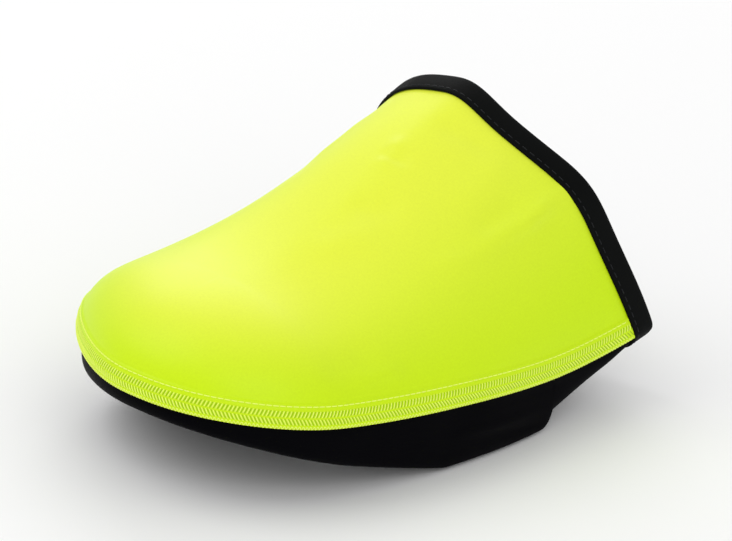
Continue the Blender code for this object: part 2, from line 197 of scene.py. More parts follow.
def underside(d):
    ramp = form["toeSpring"] * np.maximum(1 - d / padFront, 0) ** form["toeCurve"]
    inLip = np.clip(d - lipPlace + form["lipRadius"], 0, form["lipRadius"])
    lip = form["lipRadius"] - np.sqrt(form["lipRadius"] ** 2 - inLip ** 2)
    past = np.clip((d - lipPlace) / form["lipDepth"], 0, 1)
    upright = form["lipFace"] * past ** 2 * (3 - 2 * past)
    strap = upright + form["archRise"] * np.maximum(d - lipPlace, 0) / form["strapDepth"]
    return np.where(d < padFront, ramp, lip + strap)


def ringOf(bodyShares, toeCount, back):
    # ribs from the outer rear corner round the toe to the inner one
    toe = np.arange(1, toeCount) / toeCount
    body = np.ones(len(bodyShares))
    side = np.concatenate((np.ones(len(body) + len(toe) + 1), -np.ones(len(toe) + len(body))))
    sweep = np.concatenate((body, toe[::-1], [0.0], toe, body))
    share = np.concatenate((bodyShares[::-1], np.zeros(2 * len(toe) + 1), bodyShares))
    return side, sweep, share, np.full(len(side), back)


def placed(points):
    # from distances behind the toe tip to the part's own frame
    return points + np.array((form["shiftX"], form["shiftY"], 0.0))


middlePoint = np.array((0.0, form["length"] / 2, form["instepHeight"] / 2))


def gridNormals(points):
    along = np.gradient(points, axis=0)
    across = np.gradient(points, axis=1)
    normals = np.cross(along, across)
    normals /= np.maximum(np.linalg.norm(normals, axis=-1, keepdims=True), 1e-12)
    facing = np.einsum("ijk,ijk->ij", normals, points - middlePoint).sum()
    return normals if facing > 0 else -normals


def gridPiece(name, points, notes=None):
    # a grid primitive whose vertices are moved onto the form, then closed where they meet
    rows, cols = points.shape[:2]
    bpy.ops.mesh.primitive_grid_add(x_subdivisions=rows - 1, y_subdivisions=cols - 1, size=1)
    piece = bpy.context.object
    piece.name = name
    mesh = piece.data
    mesh.name = name
    places = np.empty(len(mesh.vertices) * 3)
    mesh.vertices.foreach_get("co", places)
    places = places.reshape(-1, 3)
    i = np.rint((places[:, 0] + 0.5) * (rows - 1)).astype(int)
    j = np.rint((places[:, 1] + 0.5) * (cols - 1)).astype(int)
    mesh.vertices.foreach_set("co", placed(points[i, j]).ravel())
    for noteName, values in (notes or {}).items():
        note = mesh.attributes.new(noteName, "FLOAT", "POINT")
        note.data.foreach_set("value", values[i, j].ravel())
    mesh.update()
    bpy.ops.object.mode_set(mode="EDIT")
    bpy.ops.mesh.select_all(action="SELECT")
    bpy.ops.mesh.remove_doubles(threshold=2e-6)
    bpy.ops.mesh.normals_make_consistent(inside=False)
    bpy.ops.object.mode_set(mode="OBJECT")
    return piece


def meshArrays(piece):
    mesh = piece.data
    places = np.empty(len(mesh.vertices) * 3)
    normals = np.empty(len(mesh.vertices) * 3)
    mesh.vertices.foreach_get("co", places)
    mesh.vertex_normals.foreach_get("vector", normals)
    return places.reshape(-1, 3), normals.reshape(-1, 3)


def noteOf(piece, name):
    note = piece.data.attributes[name]
    values = np.empty(len(note.data))
    note.data.foreach_get("value", values)
    return values


def makeActive(piece):
    bpy.ops.object.select_all(action="DESELECT")
    bpy.context.view_layer.objects.active = piece
    piece.select_set(True)


def turnFaces(piece):
    makeActive(piece)
    bpy.ops.object.mode_set(mode="EDIT")
    bpy.ops.mesh.select_all(action="SELECT")
    bpy.ops.mesh.flip_normals()
    bpy.ops.object.mode_set(mode="OBJECT")


def faceOut(piece):
    # turns a piece's faces if most of them look inwards
    places, normals = meshArrays(piece)
    if np.einsum("ij,ij->i", places - placed(middlePoint), normals).sum() < 0:
        turnFaces(piece)


def applyModifier(piece, kind, **values):
    makeActive(piece)
    modifier = piece.modifiers.new(kind.lower(), kind)
    for name, value in values.items():
        setattr(modifier, name, value)
    bpy.ops.object.modifier_apply(modifier=modifier.name)


def moveOut(piece, amounts):
    places, normals = meshArrays(piece)
    piece.data.vertices.foreach_set("co", (places + normals * amounts[:, None]).ravel())
    piece.data.update()


def softStep(low, high, value):
    t = np.clip((value - low) / (high - low), 0, 1)
    return t * t * (3 - 2 * t)


def smoothShade(piece, degrees):
    makeActive(piece)
    bpy.ops.object.shade_smooth_by_angle(angle=math.radians(degrees))


def threadPiece(name, paths, thickness, sidesHalf=1):
    # round thread along each path, as one mesh
    curve = bpy.data.curves.new(name, "CURVE")
    curve.dimensions = "3D"
    curve.bevel_depth = thickness / 2
    curve.bevel_resolution = sidesHalf
    curve.use_fill_caps = True
    for path, closed in paths:
        spline = curve.splines.new("POLY")
        spline.points.add(len(path) - 1)
        spline.points.foreach_set("co", np.column_stack((path, np.ones(len(path)))).ravel())
        spline.use_cyclic_u = closed
    piece = bpy.data.objects.new(name, curve)
    bpy.context.scene.collection.objects.link(piece)
    makeActive(piece)
    bpy.ops.object.convert(target="MESH")
    piece = bpy.context.object
    piece.data.shade_smooth()
    return piece


def creaseLift(places, creases):
    # height of soft troughs and ridges: each runs along a bent line and fades at both ends
    lift = np.zeros(len(places))
    for points, width, depth in creases:
        line = placed(np.array(points, float) / 1000)
        best = np.full(len(places), 1e9)
        where = np.zeros(len(places))
        lengths = np.linalg.norm(np.diff(line, axis=0), axis=1)
        total, start = lengths.sum(), 0.0
        for a, b, long in zip(line[:-1], line[1:], lengths):
            t = np.clip(((places - a) @ (b - a)) / long ** 2, 0, 1)
            gap = np.linalg.norm(places - (a + t[:, None] * (b - a)), axis=1)
            near = gap < best
            best[near] = gap[near]
            where[near] = ((start + t * long) / total)[near]
            start += long
        fade = softStep(0, 0.35, where) * softStep(0, 0.35, 1 - where)
        lift += depth / 1000 * fade * np.exp(-(best / (width / 1000)) ** 2)
    return lift


def groupOf(name, inputs, outputs):
    group = bpy.data.node_groups.new(name, "ShaderNodeTree")
    for label, kind, value in inputs:
        socket = group.interface.new_socket(name=label, in_out="INPUT", socket_type=kind)
        socket.default_value = value
    for label, kind in outputs:
        group.interface.new_socket(name=label, in_out="OUTPUT", socket_type=kind)
    return group, group.nodes.new("NodeGroupInput"), group.nodes.new("NodeGroupOutput")


def buildClothGrain():
    # fine knit: two crossed waves broken up by noise, as a height and a shade
    group, source, sink = groupOf(
        "clothGrain",
        (("Vector", "NodeSocketVector", (0, 0, 0)), ("Scale", "NodeSocketFloat", 1000.0),
         ("Weave", "NodeSocketFloat", 0.5)),
        (("Height", "NodeSocketFloat"), ("Shade", "NodeSocketFloat")))
    links = group.links
    noise = group.nodes.new("ShaderNodeTexNoise")
    noise.inputs["Detail"].default_value = 3
    noise.inputs["Roughness"].default_value = 0.6
    waves = []
    for direction in ("X", "Y"):
        wave = group.nodes.new("ShaderNodeTexWave")
        wave.bands_direction = direction
        wave.inputs["Distortion"].default_value = 1.5
        wave.inputs["Detail"].default_value = 1
        links.new(source.outputs["Vector"], wave.inputs["Vector"])
        links.new(source.outputs["Scale"], wave.inputs["Scale"])
        waves.append(wave)
    cross = group.nodes.new("ShaderNodeMath")
    cross.operation = "MULTIPLY"
    mixing = group.nodes.new("ShaderNodeMix")
    spread = group.nodes.new("ShaderNodeMapRange")
    spread.inputs["To Min"].default_value = 0.9
    spread.inputs["To Max"].default_value = 1.05
    links.new(source.outputs["Vector"], noise.inputs["Vector"])
    links.new(source.outputs["Scale"], noise.inputs["Scale"])
    links.new(waves[0].outputs["Fac"], cross.inputs[0])
    links.new(waves[1].outputs["Fac"], cross.inputs[1])
    links.new(source.outputs["Weave"], mixing.inputs["Factor"])
    links.new(noise.outputs["Fac"], mixing.inputs["A"])
    links.new(cross.outputs["Value"], mixing.inputs["B"])
    links.new(mixing.outputs["Result"], sink.inputs["Height"])
    links.new(mixing.outputs["Result"], spread.inputs["Value"])
    links.new(spread.outputs["Result"], sink.inputs["Shade"])
    return group


def buildSoftMottle():
    # broad, faint unevenness of cloth that has been handled
    group, source, sink = groupOf(
        "softMottle",
        (("Vector", "NodeSocketVector", (0, 0, 0)), ("Scale", "NodeSocketFloat", 30.0),
         ("Low", "NodeSocketFloat", 0.95), ("High", "NodeSocketFloat", 1.05)),
        (("Shade", "NodeSocketFloat"), ("Mask", "NodeSocketFloat")))
    links = group.links
    noise = group.nodes.new("ShaderNodeTexNoise")
    noise.inputs["Detail"].default_value = 2
    spread = group.nodes.new("ShaderNodeMapRange")
    spread.inputs["From Min"].default_value = 0.3
    spread.inputs["From Max"].default_value = 0.7
    links.new(source.outputs["Vector"], noise.inputs["Vector"])
    links.new(source.outputs["Scale"], noise.inputs["Scale"])
    links.new(noise.outputs["Fac"], spread.inputs["Value"])
    links.new(source.outputs["Low"], spread.inputs["To Min"])
    links.new(source.outputs["High"], spread.inputs["To Max"])
    links.new(spread.outputs["Result"], sink.inputs["Shade"])
    links.new(noise.outputs["Fac"], sink.inputs["Mask"])
    return group


def buildGapShadeMask():
    # mask of the slanted needle gaps in one row of stitches, where shade is painted, from distances round the
    # seam and up from its edge
    group, source, sink = groupOf(
        "gapShadeMask",
        (("Travel", "NodeSocketFloat", 0.0), ("Up", "NodeSocketFloat", 0.0),
         ("Pitch", "NodeSocketFloat", 0.001), ("Slant", "NodeSocketFloat", 0.5),
         ("Low", "NodeSocketFloat", 0.001), ("High", "NodeSocketFloat", 0.003),
         ("Lag", "NodeSocketFloat", 0.0)),
        (("Mask", "NodeSocketFloat"),))
    links = group.links
    gain, threshold, edgeRate = 1.6, -0.35, 3500.0    # how crisp the gaps and their ends are

    def step(operation, first, second=None, third=None):
        node = group.nodes.new("ShaderNodeMath")
        node.operation = operation
        for k, value in enumerate((first, second, third)):
            if value is None:
                continue
            if isinstance(value, (int, float)):
                node.inputs[k].default_value = value
            else:
                links.new(value, node.inputs[k])
        return node.outputs["Value"]

    put = source.outputs
    leaned = step("MULTIPLY_ADD", put["Up"], put["Slant"], put["Travel"])
    phase = step("ADD", step("DIVIDE", leaned, put["Pitch"]), put["Lag"])
    wave = step("COSINE", step("MULTIPLY", phase, 2 * math.pi))
    inGap = step("SMOOTH_MIN", step("MAXIMUM", step("MULTIPLY_ADD", wave, gain, threshold), 0.0), 1.0, 0.1)
    above = step("MULTIPLY", step("SUBTRACT", put["Up"], put["Low"]), edgeRate)
    below = step("MULTIPLY", step("SUBTRACT", put["High"], put["Up"]), edgeRate)
    window = step("MAXIMUM", step("MINIMUM", step("MINIMUM", above, below), 1.0), 0.0)
    links.new(step("MULTIPLY", inGap, window), sink.inputs["Mask"])
    return group


clothGrain = buildClothGrain()
softMottle = buildSoftMottle()
gapShadeMask = buildGapShadeMask()
print("node groups built")


def clothMaterial(name, look):
    # plain cloth with grain, mottling and a bump, from one dictionary of looks
    material = bpy.data.materials.new(name)
    material.use_nodes = True
    nodes, links = material.node_tree.nodes, material.node_tree.links
    shader = nodes["Principled BSDF"]
    shader.inputs["Metallic"].default_value = 0
    for label, value in look["shader"].items():
        shader.inputs[label].default_value = value
    place = nodes.new("ShaderNodeTexCoord")
    grain = nodes.new("ShaderNodeGroup")
    grain.node_tree = clothGrain
    grain.inputs["Scale"].default_value = look["grainScale"]
    grain.inputs["Weave"].default_value = look["weave"]
    mottle = nodes.new("ShaderNodeGroup")
    mottle.node_tree = softMottle
    mottle.inputs["Scale"].default_value = look["mottleScale"]
    mottle.inputs["Low"].default_value, mottle.inputs["High"].default_value = look["mottle"]
    colours = nodes.new("ShaderNodeMix")
    colours.name = "clothColours"
    colours.data_type = "RGBA"
    colours.inputs["A"].default_value = (*look["colour"], 1)
    colours.inputs["B"].default_value = (*look["deepColour"], 1)
    tint = nodes.new("ShaderNodeVectorMath")
    tint.name = "grainTint"
    tint.operation = "SCALE"
    shine = nodes.new("ShaderNodeMath")
    shine.operation = "MULTIPLY"
    shine.inputs[1].default_value = look["roughness"]
    bump = nodes.new("ShaderNodeBump")
    bump.inputs["Strength"].default_value = look["bumpStrength"]
    bump.inputs["Distance"].default_value = look["bumpDistance"]
    links.new(place.outputs["Object"], grain.inputs["Vector"])
    links.new(place.outputs["Object"], mottle.inputs["Vector"])
    links.new(mottle.outputs["Mask"], colours.inputs["Factor"])
    links.new(colours.outputs["Result"], tint.inputs[0])
    links.new(grain.outputs["Shade"], tint.inputs["Scale"])
    links.new(tint.outputs["Vector"], shader.inputs["Base Color"])
    links.new(mottle.outputs["Shade"], shine.inputs[0])
    links.new(shine.outputs["Value"], shader.inputs["Roughness"])
    links.new(grain.outputs["Height"], bump.inputs["Height"])
    links.new(bump.outputs["Normal"], shader.inputs["Normal"])
    return material


shellLook = {
    "colour": (0.590, 0.810, 0.002), "deepColour": (0.540, 0.780, 0.001), "roughness": 0.42,
    # the top colour is a painted sheen, paler where the light falls on the cloth's top
    "paintedSheenColour": (0.780, 0.850, 0.055), "sheenRiseSpan": (0.10, 0.85),
    "grainScale": 1600.0, "weave": 0.15, "bumpStrength": 0.08, "bumpDistance": 0.0001,
    "mottleScale": 22.0, "mottle": (0.92, 1.08),
    # the emission is a painted glow: the neon cloth's fluorescence, which also lifts its shaded sides
    "shader": {"Specular IOR Level": 0.22, "Emission Color": (0.50, 0.72, 0.0, 1), "Emission Strength": 0.12},
}
liningLook = {
    "colour": (0.60, 0.72, 0.20), "deepColour": (0.50, 0.62, 0.14), "roughness": 0.95,
    "grainScale": 500.0, "weave": 0.1, "bumpStrength": 0.7, "bumpDistance": 0.0005,
    "mottleScale": 90.0, "mottle": (0.95, 1.05),
    "shader": {"Specular IOR Level": 0.2, "Sheen Weight": 0.35, "Sheen Roughness": 0.6},
}
threadLook = {
    "colour": (0.86, 0.97, 0.16), "deepColour": (0.80, 0.93, 0.12), "roughness": 0.5,
    "grainScale": 2500.0, "weave": 0.5, "bumpStrength": 0.3, "bumpDistance": 0.0001,
    "mottleScale": 60.0, "mottle": (0.9, 1.1),
    # the emission is a painted glow: the neon thread's fluorescence, which also lifts it in shade
    "shader": {"Specular IOR Level": 0.5, "Emission Color": (0.60, 0.80, 0.05, 1), "Emission Strength": 0.12},
}
baseLook = {
    "colour": (0.0010, 0.0009, 0.0018), "deepColour": (0.0006, 0.0006, 0.0013), "roughness": 0.60,
    "grainScale": 1300.0, "weave": 0.2, "bumpStrength": 0.25, "bumpDistance": 0.0001,
    "mottleScale": 40.0, "mottle": (0.92, 1.08),
    "shader": {"Specular IOR Level": 0.03},
}
tapeLook = {
    "colour": (0.0028, 0.0034, 0.0030), "deepColour": (0.0018, 0.0022, 0.0022), "roughness": 0.66,
    "grainScale": 1200.0, "weave": 0.3, "bumpStrength": 0.4, "bumpDistance": 0.00015,
    "mottleScale": 50.0, "mottle": (0.92, 1.08),
    "shader": {"Specular IOR Level": 0.06},
}
tapeThreadLook = {
    "colour": (0.011, 0.012, 0.014), "deepColour": (0.007, 0.008, 0.010), "roughness": 0.5,
    "grainScale": 2500.0, "weave": 0.5, "bumpStrength": 0.3, "bumpDistance": 0.0001,
    "mottleScale": 60.0, "mottle": (0.9, 1.1),
    "shader": {"Specular IOR Level": 0.2},
}

# Stitches: the single top line and the slanted rows on the band, and the tape's dotted line.
# A row is its low and high edge, its slant and its lag; a row's steps are shares of its height and lifts.
stitchShape = {
    "thread": 0.00036, "endGap": 0.0004, "tapeGap": 0.0002,
    "topLine": 0.0064, "topPitch": 0.0019, "topSunk": 0.00030, "topRise": 0.00036,
    "rowPitch": 0.00105, "rows": ((0.0033, 0.0053, 0.50, 0.0), (0.0012, 0.0032, -0.50, 0.5)),
    "rowSteps": ((0.0, -0.00035), (0.2, 0.00004), (0.5, 0.00010), (0.8, 0.00004), (1.0, -0.00035)),
    # painted shade in the gaps between the band's stitches, and how strongly it is mixed in
    "paintedGapShade": (0.200, 0.350, 0.001), "gapShadeShare": 0.80,
    "edgeHigh": 0.0010, "edgeLow": 0.0, "edgeSunk": 0.00030, "edgeRise": 0.00025,
    "tapePitch": 0.0026, "tapeThread": 0.00034, "tapeLine": 0.0060, "tapeSunk": 0.25, "tapeProud": 0.95,
}


def addPaintedGapShade(material):
    # painted shade: the shell's colour is darkened in the gaps between the band's stitches, where shade falls
    # between the threads
    nodes, links = material.node_tree.nodes, material.node_tree.links
    shader = nodes["Principled BSDF"]
    plain = shader.inputs["Base Color"].links[0].from_socket
    notes = {}
    for name in ("travel", "up"):
        note = nodes.new("ShaderNodeAttribute")
        note.attribute_name = name
        notes[name] = note.outputs["Fac"]
    masks = []
    for low, high, slant, lag in stitchShape["rows"]:
        gaps = nodes.new("ShaderNodeGroup")
        gaps.node_tree = gapShadeMask
        row = {"Pitch": stitchShape["rowPitch"], "Slant": slant, "Low": low, "High": high, "Lag": lag}
        for label, value in row.items():
            gaps.inputs[label].default_value = value
        links.new(notes["travel"], gaps.inputs["Travel"])
        links.new(notes["up"], gaps.inputs["Up"])
        masks.append(gaps.outputs["Mask"])
    both = nodes.new("ShaderNodeMath")
    both.operation = "MAXIMUM"
    links.new(masks[0], both.inputs[0])
    links.new(masks[1], both.inputs[1])
    share = nodes.new("ShaderNodeMath")
    share.operation = "MULTIPLY"
    share.inputs[1].default_value = stitchShape["gapShadeShare"]
    links.new(both.outputs["Value"], share.inputs[0])
    shadeGaps = nodes.new("ShaderNodeMix")
    shadeGaps.data_type = "RGBA"
    shadeGaps.inputs["B"].default_value = (*stitchShape["paintedGapShade"], 1)
    links.new(share.outputs["Value"], shadeGaps.inputs["Factor"])
    links.new(plain, shadeGaps.inputs["A"])
    links.new(shadeGaps.outputs["Result"], shader.inputs["Base Color"])


def addPaintedTopSheen(material, look):
    # painted sheen: the cloth's colour is made paler and whiter on its top, where the light falls, than low on
    # the sides
    nodes, links = material.node_tree.nodes, material.node_tree.links
    colours = nodes["clothColours"]
    rise = nodes.new("ShaderNodeAttribute")
    rise.attribute_name = "rise"
    share = nodes.new("ShaderNodeMapRange")
    share.interpolation_type = "SMOOTHSTEP"
    share.inputs["From Min"].default_value, share.inputs["From Max"].default_value = look["sheenRiseSpan"]
    sheenMix = nodes.new("ShaderNodeMix")
    sheenMix.data_type = "RGBA"
    sheenMix.inputs["B"].default_value = (*look["paintedSheenColour"], 1)
    links.new(rise.outputs["Fac"], share.inputs["Value"])
    links.new(share.outputs["Result"], sheenMix.inputs["Factor"])
    links.new(colours.outputs["Result"], sheenMix.inputs["A"])
    links.new(sheenMix.outputs["Result"], nodes["grainTint"].inputs[0])


shellCloth = clothMaterial("neonStretchShell", shellLook)
# a painted sheen on the shell's top
addPaintedTopSheen(shellCloth, shellLook)
# painted shade in the gaps between the band's stitches
addPaintedGapShade(shellCloth)
liningCloth = clothMaterial("brushedLining", liningLook)
neonThread = clothMaterial("neonThread", threadLook)
baseCloth = clothMaterial("blackBaseCloth", baseLook)
tapeCloth = clothMaterial("blackElasticTape", tapeLook)
blackThread = clothMaterial("blackThread", tapeThreadLook)
print("materials built")

# The stretch upper with its turned, coverstitched lower band.
upperShape = {
    "bodyRibs": 120, "toeRibs": 64, "skinRows": 64,
    "bandLift": 0.00040, "bandFade": (0.0068, 0.0074), "edgeRound": 0.00030, "edgeSpan": 0.0008,
    "grooves": (0.0062, 0.0046, 0.0014), "grooveDepth": 0.00016, "grooveWidth": 0.00035,
    "softenTimes": 40, "creaseGain": 2.4, "creaseStart": (0.0068, 0.012), "sharpAngle": 50,
}
aboveBand = 0.02
# The band's rows in millimetres up from its edge, closest at the edge and where the band ends.
bandUps = np.array((0, 0.25, 0.6, 1.0, 1.5, 2.1, 2.7, 3.3, 3.9, 4.5,
                    5.0, 5.5, 5.9, 6.2, 6.5, 6.8, 7.0, 7.2, 7.5)) / 1000
# Creases: points in millimetres as across, behind the toe tip, up; then width and depth.
upperCreases = (
    (((32.5, 139.0, 62.5), (34.6, 127.6, 59.3), (35.4, 117.4, 56.0),
      (35.4, 106.7, 53.8), (35.1, 94.2, 51.4)), 3.6, 0.70),
    (((37.0, 135.0, 57.0), (36.6, 121.4, 55.6), (37.1, 112.2, 53.2),
      (36.7, 102.5, 51.7), (34.5, 92.0, 50.5)), 3.2, -0.55),
    (((34.1, 127.3, 60.3), (35.4, 118.3, 56.3), (35.9, 112.4, 54.7)), 1.8, 0.35),
    (((31.0, 121.0, 64.0), (31.5, 110.0, 60.0), (30.5, 99.0, 57.0)), 3.0, -0.35),
    (((36.1, 109.6, 53.7), (35.2, 99.8, 52.5), (33.9, 92.5, 52.0), (30.0, 80.8, 51.7)), 3.0, 0.30),
    (((-3.8, 97.0, 71.0), (1.9, 97.8, 71.0), (8.4, 100.2, 70.1)), 2.2, -0.30),
    (((-2.5, 106.5, 73.8), (-0.1, 100.5, 72.2), (1.7, 91.1, 68.4)), 2.4, 0.22),
    (((1.3, 79.3, 63.1), (9.4, 82.4, 62.3), (15.4, 90.5, 62.9)), 4.5, -0.32),
    (((6.8, 58.7, 54.0), (11.0, 69.6, 56.9), (17.4, 79.6, 58.2)), 5.0, 0.28),
    (((42.3, 39.8, 33.1), (43.2, 49.5, 33.7), (44.9, 60.9, 33.3)), 2.2, 0.30),
    (((37.6, 31.0, 36.5), (39.0, 43.8, 37.7), (38.6, 55.2, 39.1)), 4.0, -0.25),
    (((0.9, 111.6, 76.5), (9.4, 117.6, 74.8), (19.4, 122.6, 70.0)), 4.0, -0.28),
    (((20.0, 126.0, 70.5), (24.0, 112.0, 66.5), (23.0, 98.0, 62.5)), 4.5, 0.30),
    (((-30.0, 118.0, 66.0), (-31.0, 104.0, 60.0), (-33.0, 90.0, 54.0)), 4.0, -0.40),
    (((-27.0, 121.0, 71.0), (-27.0, 106.0, 65.0), (-28.0, 92.0, 59.0)), 4.0, 0.35),
    (((-40.0, 112.0, 45.0), (-42.0, 98.0, 42.0), (-44.0, 82.0, 39.0)), 4.0, -0.30),
)


def seamTravel(ribs):
    # distance of each rib from the toe tip's rib, along the band's middle
    points = skin(ribs, angleAt(ribs, form["bandWidth"] / 2))
    lengths = np.concatenate(([0], np.cumsum(np.linalg.norm(np.diff(points, axis=0), axis=1))))
    return lengths - lengths[np.flatnonzero(ribs[1] == 0)[0]]


def makeUpper():
    shape = upperShape
    ribs = ringOf(np.linspace(0, 1, shape["bodyRibs"]), shape["toeRibs"], edgeInTape)
    lowAngles = np.stack([angleAt(ribs, up) for up in bandUps], axis=1)
    last = lowAngles[:, -1:]
    steps = np.arange(1, shape["skinRows"] + 1) / shape["skinRows"]
    angles = np.concatenate((lowAngles, last + (quarter - last) * steps), axis=1)
    angles[:, -1] = quarter
    spreadRibs = tuple(column[:, None] for column in ribs)
    travel = np.broadcast_to(seamTravel(ribs)[:, None], angles.shape)
    bandNote = np.broadcast_to(bandUps, lowAngles.shape)
    ups = np.concatenate((bandNote, np.full((len(last), len(steps)), aboveBand)), axis=1)
    fromEdge = np.broadcast_to((1 - ribs[2])[:, None], angles.shape)
    points = skin(spreadRibs, angles)
    notes = {"up": ups, "rise": angles / quarter, "fromEdge": fromEdge, "travel": travel}
    upper = gridPiece("upperShell", points, notes)
    faceOut(upper)
    weights = softStep(0.35, 0.75, noteOf(upper, "rise")) * softStep(0.03, 0.14, noteOf(upper, "fromEdge"))
    soften = upper.vertex_groups.new(name="soften")
    for number, weight in enumerate(weights):
        if weight > 0.01:
            soften.add([number], float(weight), "REPLACE")
    applyModifier(upper, "SMOOTH", factor=0.5, iterations=shape["softenTimes"], vertex_group="soften")
    up = noteOf(upper, "up")
    lift = shape["bandLift"] * (1 - softStep(*shape["bandFade"], up))
    lift -= shape["edgeRound"] * (1 - softStep(0, shape["edgeSpan"], up))
    for line in shape["grooves"]:
        lift -= shape["grooveDepth"] * np.exp(-((up - line) / shape["grooveWidth"]) ** 2)
    lift *= softStep(0.0, 0.01, noteOf(upper, "fromEdge"))
    places, normals = meshArrays(upper)
    creased = creaseLift(places, upperCreases) * softStep(*shape["creaseStart"], up)
    moveOut(upper, lift + shape["creaseGain"] * creased)
    upper.data.materials.append(shellCloth)
    upper.data.materials.append(liningCloth)
    applyModifier(upper, "SOLIDIFY", thickness=form["upperWall"], offset=-1, material_offset=1, use_rim=True)
    smoothShade(upper, shape["sharpAngle"])
    return upper


upperShell = makeUpper()
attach(upperShell, "root")
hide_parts("upper")
print("upper made:", len(upperShell.data.polygons), "faces")

# The black base: lap behind the band, side wall, pad, lip and strap, with its cleat opening.
baseShape = {
    "bodyRibs": 90, "toeRibs": 56, "lapRows": 3, "wallRows": 30, "soleRows": 18, "lipRibs": 7,
    "pastLip": (0.15, 0.30, 0.45, 0.60, 0.75, 1.20, 2.00), "ribSpace": 0.4,
    "hemWidth": 0.0055, "hemEdge": 0.0004, "hemLift": 0.00045, "padFade": (0.003, 0.010),
    "facingDown": (0.45, 0.95), "cutterDepth": 0.06, "cutterSides": 120, "sharpAngle": 40,
    "rearTrim": 0.0013, "trimAcross": (0.034, 0.047), "trimBack": (0.136, 0.150), "trimUp": (0.015, 0.024),
}
baseCreases = (
    (((50.4, 115.0, 7.6), (50.6, 110.2, 8.0), (50.9, 100.3, 8.9),
      (50.9, 89.4, 9.5), (49.7, 68.3, 11.8)), 1.5, 0.60),
    (((50.0, 115.0, 3.4), (50.3, 108.2, 3.8), (50.8, 97.0, 5.3), (50.7, 78.5, 8.0)), 1.5, -0.50),
    (((50.0, 135.7, 14.6), (50.1, 113.9, 15.3), (50.4, 91.4, 17.8), (48.0, 61.8, 20.8)), 0.9, 0.30),
    (((50.1, 123.1, 13.6), (50.6, 98.8, 14.6), (50.0, 77.5, 17.0), (46.0, 49.6, 19.6)), 1.0, -0.32),
    (((50.4, 89.8, 17.0), (48.8, 65.8, 18.0), (44.6, 43.1, 20.2), (37.6, 23.4, 24.4)), 0.9, 0.30),
    (((46.5, 51.7, 19.4), (41.3, 31.0, 22.2), (32.6, 16.9, 26.0)), 0.9, -0.28),
    (((31.3, 15.3, 27.3), (25.0, 9.9, 30.4), (17.9, 6.1, 33.0)), 0.9, 0.28),
    (((-14.4, 4.5, 31.0), (-11.6, 3.5, 28.9), (-7.0, 2.5, 27.8)), 0.8, 0.26),
    (((1.2, 2.1, 31.8), (4.6, 2.1, 29.5), (9.0, 2.6, 27.8)), 0.8, 0.26),
    (((-49.5, 112.0, 10.0), (-50.0, 95.0, 12.0), (-50.5, 70.0, 16.0)), 1.6, -0.40),
    (((-49.0, 70.0, 24.0), (-50.5, 50.0, 26.0), (-48.0, 30.0, 29.0)), 1.1, 0.30),
)


def baseGrid(ribs, wallRows, soleRows):
    lapUps = np.array((0, 0.5, 1.0, 1.5)) * form["lapDepth"]
    spreadRibs = tuple(column[:, None] for column in ribs)
    angles = np.stack([angleAt(ribs, up) for up in lapUps], axis=1)
    skinRows = skin(spreadRibs, angles)
    inset = form["upperWall"] + form["clearance"]
    lap = skinRows - gridNormals(skinRows) * inset
    edge, foot, half, top = skinRows[:, 0], lap[:, 0], lap[:, 1], lap[:, 2]
    side, sweep, share, back = ribs
    x, d = ribFoot(ribs)
    poleX = crownPoint(np.array(form["toeReach"]))[0]
    inward = np.stack((np.where(sweep < 1, poleX - x, -side),
                       np.where(sweep < 1, form["toeReach"] - d, 0.0)), axis=1)
    inward /= np.linalg.norm(inward, axis=1, keepdims=True)
    place = ribFoot((np.ones(len(side)), sweep, share, back))[1]
    tuck = (form["edgeTuck"] * curveOf["tuck"](place / form["length"]))[:, None]
    rows = [top, half, foot]
    for k in range(1, wallRows + 1):
        turn = quarter * k / wallRows
        across = 1 - max(math.cos(turn), 0) ** (2 / form["edgeFullness"])
        drop = math.sin(turn) ** (2 / form["edgeFullness"])
        plan = foot[:, :2] + (edge[:, :2] - foot[:, :2]) * drop + inward * tuck * across
        rows.append(np.column_stack((plan, edge[:, 2] + (underside(place) - edge[:, 2]) * drop)))
    wallFoot = rows[-1]
    toeEnds = np.flatnonzero((sweep == 1) & (share == 0))
    middle = (wallFoot + wallFoot[::-1]) / 2
    target = place.copy()
    if len(toeEnds):
        toeMiddle = (wallFoot[toeEnds[0]] + wallFoot[toeEnds[-1]]) / 2
        middle = np.where((sweep < 1)[:, None], toeMiddle, middle)
        target = np.where(sweep < 1, form["toeReach"], place)
    for k in range(1, soleRows + 1):
        part = k / soleRows
        plan = wallFoot[:, :2] + (middle[:, :2] - wallFoot[:, :2]) * part
        rows.append(np.column_stack((plan, underside(place + (target - place) * part))))
    return trimRear(np.stack(rows, axis=1))


def trimRear(points):
    # the tape's low outer corner is drawn up a little, as in the photograph
    shape = baseShape
    x, d, z = points[..., 0], points[..., 1], points[..., 2]
    near = softStep(*shape["trimAcross"], x) * softStep(*shape["trimBack"], d)
    trimmed = points.copy()
    trimmed[..., 2] += shape["rearTrim"] * near * (1 - softStep(*shape["trimUp"], z))
    return trimmed


def cleatPoint(across, along):
    # from points of a unit circle to the cleat opening's outline
    power = 2 / form["cleatSquareness"]
    x = form["cleatShift"] + np.sign(across) * np.abs(across) ** power * form["cleatWidth"] / 2
    y = cleatFront + (1 + np.sign(along) * np.abs(along) ** power) * form["cleatLength"] / 2
    return x, y


